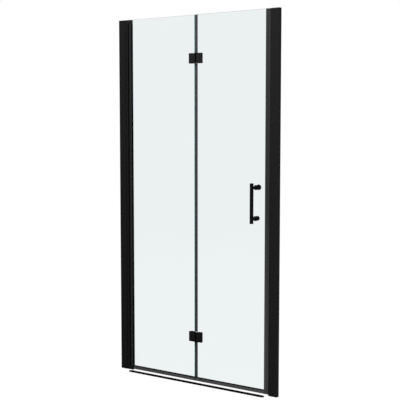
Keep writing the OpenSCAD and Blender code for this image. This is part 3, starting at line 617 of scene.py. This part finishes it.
def pivot_pane():
    """The pivot leaf's glass, with two corners cut out for the pivot blocks."""
    low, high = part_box("pivot_glass")
    cut_x, cut_z = low.x + CORNER_CUT[0], CORNER_CUT[1]
    corners = [
        Vector((x, low.y, z))
        for x, z in [
            (high.x, low.z), (high.x, high.z), (cut_x, high.z),
            (cut_x, high.z - cut_z), (low.x, high.z - cut_z), (low.x, low.z + cut_z),
            (cut_x, low.z + cut_z), (cut_x, low.z),
        ]
    ]
    spots = [(spot, CLAMP_HOLE_R) for spot in clamp_spots("pivot_hinge_screws")]
    piece = pane("pivot_pane", "pivot_glass", "pivot_leaf", corners, spots)
    # The cut corners stand against the black pivot blocks and look dark
    for face in piece.data.polygons:
        if face.material_index == EDGE and face.center.x < cut_x + ARRIS:
            face.material_index = RIM


def fold_pane():
    """The fold leaf's glass, drilled for the hinges and the handle."""
    low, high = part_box("fold_glass")
    corners = [
        Vector((x, low.y, z))
        for x, z in [(high.x, low.z), (high.x, high.z), (low.x, high.z), (low.x, low.z)]
    ]
    spots = [(spot, CLAMP_HOLE_R) for spot in clamp_spots("fold_hinge_screws")]
    spots += [(spot, HANDLE_HOLE_R) for spot in POSTS]
    piece = pane("fold_pane", "fold_glass", "fold_leaf", corners, spots)
    # The middle seal is bonded to the left edge, which looks black through the glass
    for face in piece.data.polygons:
        if face.material_index == EDGE and face.center.x < low.x + 2 * ARRIS:
            face.material_index = BONDED


pivot_pane()
fold_pane()

# Hinges --------------------------------------------------------------------------------------


def hinge_leaf(name, node, side, spans, bore_r, screws):
    """A hinge's front leaf: a plate and its knuckles in one piece, bored for pin and screws."""
    low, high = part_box(node)
    axis = HINGES[0]
    end = low.x if side < 0 else high.x
    face_y = axis.y + LEAF_FACE

    def slab(part, from_x, to_x, to_y, span):
        return block(
            part,
            Vector((min(from_x, to_x), face_y, axis.z + span[0])),
            Vector((max(from_x, to_x), to_y, axis.z + span[1])),
        )

    plate = slab(name, axis.x + side * LEAF_BACK, end, high.y, (-HINGE_HALF, HINGE_HALF))
    tools = []
    for span in spans:
        web_x = axis.x + side * (LEAF_BACK + MM)
        tools.append(slab("web", axis.x, web_x, axis.y + KNUCKLE_R, span))
        tools.append(rod("knuckle", axis + span[0] * UPWARD, axis + span[1] * UPWARD, KNUCKLE_R))
    joined(plate, tools, "UNION")
    bore = rod("bore", axis - 2 * HINGE_HALF * UPWARD, axis + 2 * HINGE_HALF * UPWARD, bore_r)
    sockets = [
        rod(
            "socket",
            Vector((spot.x, face_y + THREAD_SKIN, spot.z)),
            Vector((spot.x, high.y + MM, spot.z)),
            CLAMP_R + SLACK,
        )
        for spot in screws[:2]
    ]
    joined(plate, [bore] + sockets)
    return softened(plate, HARDWARE_EDGE, segments=3)


def hinge_leaves():
    """Both hinges' front leaves: one knuckle on the pivot side, two on the fold side."""
    outer = KNUCKLE_MID + KNUCKLE_GAP
    sides = [
        ("pivot", -1, "pivot_leaf", [(-KNUCKLE_MID, KNUCKLE_MID)], PIN_BORE_R),
        ("fold", 1, "fold_leaf", [(-HINGE_HALF, -outer), (outer, HINGE_HALF)], BUSH_BORE_R),
    ]
    rise = HINGES[1] - HINGES[0]
    for side_name, side, body, spans, bore_r in sides:
        screws = clamp_spots(side_name + "_hinge_screws")
        lower_node = "lower_hinge_" + side_name + "_leaf"
        upper_node = "upper_hinge_" + side_name + "_leaf"
        lower = hinge_leaf(
            "lower_" + side_name + "_hinge_leaf", lower_node, side, spans, bore_r, screws
        )
        upper = copied(lower, "upper_" + side_name + "_hinge_leaf", rise)
        for leaf, node in ((lower, lower_node), (upper, upper_node)):
            dressed(leaf, body, [node], "black_hardware", hinge_black_painted_light, knuckle_painted_shade)
            # Faces beside the axis get the near-black knuckle finish as painted shade in the
            # hinge's gap
            for face in leaf.data.polygons:
                beside = abs(face.center.x - HINGES[0].x)
                face.material_index = KNUCKLE if beside < KNUCKLE_ZONE else PLATE


def back_plates():
    """Plates behind the glass, countersunk for the clamp screws."""
    rise = HINGES[1] - HINGES[0]
    reach, past = 10 * MM, 11 * MM  # from the sink's start to the plate's back, and to its end
    hole_r, sink_r = CLAMP_R + CLEARANCE, CLAMP_HEAD_R + CLEARANCE
    for side_name, body in (("pivot", "pivot_leaf"), ("fold", "fold_leaf")):
        node = "lower_hinge_" + side_name + "_back_plate"
        low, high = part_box(node)
        lower = block("lower_" + side_name + "_back_plate", low, high)
        for spot in clamp_spots(side_name + "_hinge_screws")[:2]:
            sink = lathe("sink", Vector((spot.x, high.y - reach, spot.z)), [
                (0, 0), (hole_r, 0), (hole_r, reach - CLAMP_HEAD_L), (sink_r, reach),
                (sink_r, past), (0, past),
            ], INWARD)
            joined(lower, [sink])
        softened(lower, HARDWARE_EDGE, segments=3)
        upper = copied(lower, "upper_" + side_name + "_back_plate", rise)
        upper_node = node.replace("lower", "upper")
        dressed(lower, body, [node], "black_hardware", hinge_black_painted_light)
        dressed(upper, body, [upper_node], "black_hardware", hinge_black_painted_light)


hinge_leaves()
back_plates()

# Handle --------------------------------------------------------------------------------------


def handle_bar():
    """The round bar, with a socket for each stud."""
    low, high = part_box("handle_bar")
    length, edge = high.z - low.z, BAR_CHAMFER
    foot = Vector((POSTS[0].x, (low.y + high.y) / 2, low.z))
    bar = lathe("pull_bar", foot, [
        (0, 0), (BAR_R - edge, 0), (BAR_R, edge), (BAR_R, length - edge), (BAR_R - edge, length),
        (0, length),
    ], UPWARD)
    for post in POSTS:
        start = Vector((post.x, foot.y - STUD_SOCKET, post.z))
        joined(bar, [rod("socket", start, start + 2 * BAR_R * INWARD, STUD_R + SLACK)])
    softened(bar, BAR_EDGE, segments=3)
    dressed(bar, "fold_leaf", ["handle_bar"], "black_hardware", handle_black)


def handle_posts():
    """The two necks between bar and glass, saddled on the bar and flared into rosettes."""
    bar_y = middle("handle_bar").y
    end_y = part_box("lower_handle_post")[1].y
    radius, thick, cone = ROSETTE
    length = end_y - bar_y
    foot = Vector((POSTS[0].x, bar_y, POSTS[0].z))
    lower = lathe("lower_pull_post", foot, [
        (0, 0), (NECK_R, 0), (NECK_R, length - thick - cone), (radius, length - thick),
        (radius, length), (0, length),
    ], INWARD)
    reach = 20 * MM * UPWARD  # well past the neck
    saddle = rod("saddle", foot - reach, foot + reach, BAR_R + SLACK)
    bore = rod("bore", foot, foot + 2 * length * INWARD, STUD_R + CLEARANCE)
    joined(lower, [saddle, bore])
    softened(lower, HARDWARE_EDGE, segments=3)
    upper = copied(lower, "upper_pull_post", POSTS[1] - POSTS[0])
    dressed(lower, "fold_leaf", ["lower_handle_post"], "black_hardware", handle_black)
    dressed(upper, "fold_leaf", ["upper_handle_post"], "black_hardware", handle_black)


def inner_end(name, node, post, steps):
    """The knob or the cap behind the glass, bored for its stud and its grub screw."""
    foot = Vector((post.x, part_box(node)[0].y, post.z))
    piece = lathe(name, foot, steps, INWARD)
    grub_r, behind = GRUB
    spot = foot + behind * INWARD
    below = spot - 20 * MM * UPWARD  # well below the knob
    hole = rod("grub_hole", below, spot - STUD_R * UPWARD, grub_r + SLACK, sides=32)
    joined(piece, [hole])
    softened(piece, HARDWARE_EDGE, segments=3)
    dressed(piece, "fold_leaf", [node], "black_hardware", handle_black)


def inner_ends():
    """The waisted knob behind the upper post and the plain cap behind the lower one."""
    bore, edge = STUD_R + SLACK, INNER_CHAMFER
    low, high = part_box("inner_knob")
    knob_l = high.y - low.y
    neck = knob_l - KNOB_HEAD
    slope = CAP_R - WAIST_R
    inner_end("pull_knob", "inner_knob", POSTS[1], [
        (0, knob_l - STUD_SKIN), (bore, knob_l - STUD_SKIN), (bore, 0), (CAP_R, 0),
        (CAP_R, neck - 2 * slope), (WAIST_R, neck - slope), (WAIST_R, neck),
        (KNOB_R, neck + slope), (KNOB_R, knob_l - edge), (KNOB_R - edge, knob_l), (0, knob_l),
    ])
    low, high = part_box("inner_cap")
    cap_l = high.y - low.y
    inner_end("pull_cap", "inner_cap", POSTS[0], [
        (0, cap_l - STUD_SKIN), (bore, cap_l - STUD_SKIN), (bore, 0), (CAP_R, 0),
        (CAP_R, cap_l - edge), (CAP_R - edge, cap_l), (0, cap_l),
    ])


handle_bar()
handle_posts()
inner_ends()

# Seals and threshold -------------------------------------------------------------------------


def bottom_seal(name, node, body):
    """The seal under a pane: a dark lip on the glass and a grey blade below it."""
    low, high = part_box(node)
    glass_low, glass_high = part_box("fold_glass")
    front, back = glass_low.y - RAIL_WALL, glass_high.y + RAIL_WALL
    floor, lip, top = glass_low.z - RAIL_WALL, high.z - RAIL_LIP, high.z
    foot = glass_low.z - BLADE_FALL
    section = [
        (front, top), (glass_low.y, top), (glass_low.y, glass_low.z), (glass_high.y, glass_low.z),
        (glass_high.y, top), (back, top), (back, floor), (back + FIN_LEAN, foot),
        (back + FIN_LEAN - RAIL_WALL, foot), (back - RAIL_WALL, floor), (front + RAIL_WALL, floor),
        (front - BLADE_OUT + RAIL_WALL, foot), (front - BLADE_OUT, foot),
        (front - RAIL_STEP, lip - RAIL_STEP), (front, lip),
    ]
    piece = pulled(name, [Vector((low.x, y, z)) for y, z in section], (high.x - low.x) * ACROSS)
    softened(piece, SEAL_EDGE)
    dressed(piece, body, [node], "seal_grey", seal_lip, seal_blade)
    for face in piece.data.polygons:
        spot = face.center
        on_blade = spot.z < lip - RAIL_STEP / 2 and spot.y < front + RAIL_WALL / 2
        face.material_index = BLADE if on_blade and abs(face.normal.x) < LEANING else LIP


def threshold():
    """A low strip with half-round ends and a crowned top."""
    low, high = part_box("threshold_strip")
    radius, height = (high.y - low.y) / 2, high.z - low.z
    corners = []
    for centre_x, turn in ((high.x - radius, -0.25), (low.x + radius, 0.25)):
        for step in range(END_STEPS + 1):
            angle = FULL_TURN * (turn + step / (2 * END_STEPS))
            corners.append(Vector((
                centre_x + radius * math.cos(angle),
                (low.y + high.y) / 2 + radius * math.sin(angle),
                low.z,
            )))
    piece = pulled("floor_threshold", corners, THRESHOLD_SIDE * height * UPWARD)
    pick(piece, lambda face: face.normal.z > FACING)
    for inward, rise in THRESHOLD_CROWN:
        bpy.ops.mesh.inset(thickness=inward * height, depth=rise * height)
    bpy.ops.object.mode_set(mode="OBJECT")
    only(piece)
    bpy.ops.object.shade_smooth_by_angle(angle=CROWN_ANGLE)
    dressed(piece, "frame", ["threshold_strip"], "threshold_rubber", threshold_black)


bottom_seal("pivot_rail", "pivot_bottom_seal", "pivot_leaf")
bottom_seal("fold_rail", "fold_bottom_seal", "fold_leaf")
threshold()

# Profiles, blocks and caps -------------------------------------------------------------------

# Solids that keep their shape and get broken edges: the new name, the solid, its body, slot and
# finish, and the edge in millimetres
BROKEN_EDGES = [
    ("closing_edge", "closing_profile", "fold_leaf", "grey_profile", powder_grey_painted_light, 0.3),
    ("magnet_strip", "door_magnet", "fold_leaf", "magnet_seal", magnet_rubber_painted_light, 0.3),
    ("upper_pivot_block", "top_pivot_block", "frame", "black_hardware", hinge_black_painted_light, 0.5),
    ("lower_pivot_block", "bottom_pivot_block", "frame", "black_hardware", hinge_black_painted_light, 0.5),
    ("left_jamb_caps", "left_screw_caps", "frame", "black_plastic", plastic_black, 0.4),
    ("right_jamb_caps", "right_screw_caps", "frame", "black_plastic", plastic_black, 0.4),
    ("strike_top_lid", "strike_top_cap", "frame", "black_plastic", plastic_black, 0.3),
    ("strike_bottom_lid", "strike_bottom_cap", "frame", "black_plastic", plastic_black, 0.3),
]

for name, node, body, slot, finish, edge in BROKEN_EDGES:
    piece = refined(name, node, edge * MM)
    piece.data.materials.clear()
    dressed(piece, body, [node], slot, finish)

# Studio --------------------------------------------------------------------------------------


FLOOR_SIZE, FLOOR_Z = 60, -0.0005
FLOOR_TONES = grey(0.60), grey(0.62)
FLOOR_GLOW = 1.045  # strength of the background's white
FLOOR_SHARE = 0.95  # its share in the floor
SKY_LEFT, SKY_RIGHT = 0.15, 0.04  # light from the two sides
SKY_FALL = (-0.6, 0.7)  # directions along X between which the light grows weaker
LAMPS_LOOK_AT = Vector((0, 0, 0.9))
CAMERA_PLACE = (2.474, 3.6309, 1.2869)  # right of the door's middle, before its front, and up
CAMERA_DIP, CAMERA_TURN = 4.758, 33.912  # degrees below the horizon, and to the left
SENSOR = 36  # millimetres
FOCAL_PIXELS, PHOTO_PIXELS = 888, 400  # focal length and width of the photograph


def backdrop_rays(tree):
    """1 for a ray that shows the background: seen, seen through glass, or mirrored."""
    ray = tree.nodes.new("ShaderNodeLightPath")
    plain = tree.nodes.new("ShaderNodeMath")
    every = tree.nodes.new("ShaderNodeMath")
    plain.operation = every.operation = "MAXIMUM"
    tree.links.new(ray.outputs["Is Camera Ray"], plain.inputs[0])
    tree.links.new(ray.outputs["Is Transmission Ray"], plain.inputs[1])
    tree.links.new(plain.outputs["Value"], every.inputs[0])
    tree.links.new(ray.outputs["Is Glossy Ray"], every.inputs[1])
    return every.outputs["Value"]


def studio_floor():
    """A pale floor, nearly white where it is the background, which keeps a trace of shadow."""
    bpy.ops.object.select_all(action="DESELECT")
    bpy.ops.mesh.primitive_plane_add(size=FLOOR_SIZE, location=(0, 0, FLOOR_Z))
    floor = settle(bpy.context.object, "studio_floor")
    made, tree, shader, place = new_finish("pale_floor")
    output = tree.nodes["Material Output"]
    glow = tree.nodes.new("ShaderNodeEmission")
    share = tree.nodes.new("ShaderNodeMath")
    mix = tree.nodes.new("ShaderNodeMixShader")
    cloud = grain(tree, place, size=0.8, detail=2.0)
    colour = shades(tree, spread(tree, cloud, 0, 1), *FLOOR_TONES)
    tree.links.new(colour, shader.inputs["Base Color"])
    shader.inputs["Roughness"].default_value = 0.9
    shader.inputs["Specular IOR Level"].default_value = 0.1
    glow.inputs["Strength"].default_value = FLOOR_GLOW
    share.operation = "MULTIPLY"
    share.inputs[1].default_value = FLOOR_SHARE
    tree.links.new(backdrop_rays(tree), share.inputs[0])
    tree.links.new(share.outputs["Value"], mix.inputs["Fac"])
    tree.links.new(shader.outputs["BSDF"], mix.inputs[1])
    tree.links.new(glow.outputs["Emission"], mix.inputs[2])
    tree.links.new(mix.outputs["Shader"], output.inputs["Surface"])
    floor.data.materials.append(made)


def studio_sky():
    """Soft light, stronger from the left, and white where it is the background."""
    world = bpy.data.worlds.new("studio_sky")
    bpy.context.scene.world = world
    world.use_nodes = True
    tree = world.node_tree
    sky = tree.nodes["Background"]
    way = tree.nodes.new("ShaderNodeTexCoord")
    part = tree.nodes.new("ShaderNodeSeparateXYZ")
    side = tree.nodes.new("ShaderNodeMapRange")
    room = tree.nodes.new("ShaderNodeMix")
    shown = tree.nodes.new("ShaderNodeMix")
    for mix in (room, shown):
        mix.data_type = "RGBA"
    room.inputs["A"].default_value = (*grey(SKY_LEFT), 1)
    room.inputs["B"].default_value = (*grey(SKY_RIGHT), 1)
    shown.inputs["B"].default_value = (1, 1, 1, 1)
    side.inputs["From Min"].default_value, side.inputs["From Max"].default_value = SKY_FALL
    tree.links.new(way.outputs["Generated"], part.inputs["Vector"])
    tree.links.new(part.outputs["X"], side.inputs["Value"])
    tree.links.new(side.outputs["Result"], room.inputs["Factor"])
    tree.links.new(backdrop_rays(tree), shown.inputs["Factor"])
    tree.links.new(room.outputs["Result"], shown.inputs["A"])
    tree.links.new(shown.outputs["Result"], sky.inputs["Color"])


def studio_lamp(name, place, size, power):
    """A soft lamp that looks at the middle of the door."""
    bpy.ops.object.select_all(action="DESELECT")
    bpy.ops.object.light_add(type="AREA", location=place)
    lamp = bpy.context.object
    lamp.name = name
    lamp.data.size = size
    lamp.data.energy = power
    look = LAMPS_LOOK_AT - Vector(place)
    lamp.rotation_euler = look.to_track_quat("-Z", "Y").to_euler()


def studio_camera():
    """The photograph's place: right of the door and in front of it, a little above the middle."""
    bpy.ops.object.select_all(action="DESELECT")
    right, before, up = CAMERA_PLACE
    bpy.ops.object.camera_add(
        location=(right, FRONT_Y - before, up),
        rotation=(math.radians(90 - CAMERA_DIP), 0, math.radians(CAMERA_TURN)),
    )
    camera = bpy.context.object
    camera.name = "photo_camera"
    camera.data.sensor_width = SENSOR
    camera.data.lens = SENSOR * FOCAL_PIXELS / PHOTO_PIXELS
    camera.data.clip_end = 200
    bpy.context.scene.camera = camera


studio_floor()
studio_sky()
studio_lamp("key_lamp", place=(1.2, -2.1, 3.3), size=1.8, power=180)
studio_lamp("back_lamp", place=(-1.5, 4.0, 3.6), size=2.5, power=90)
studio_camera()
bpy.context.scene.view_settings.view_transform = "Standard"
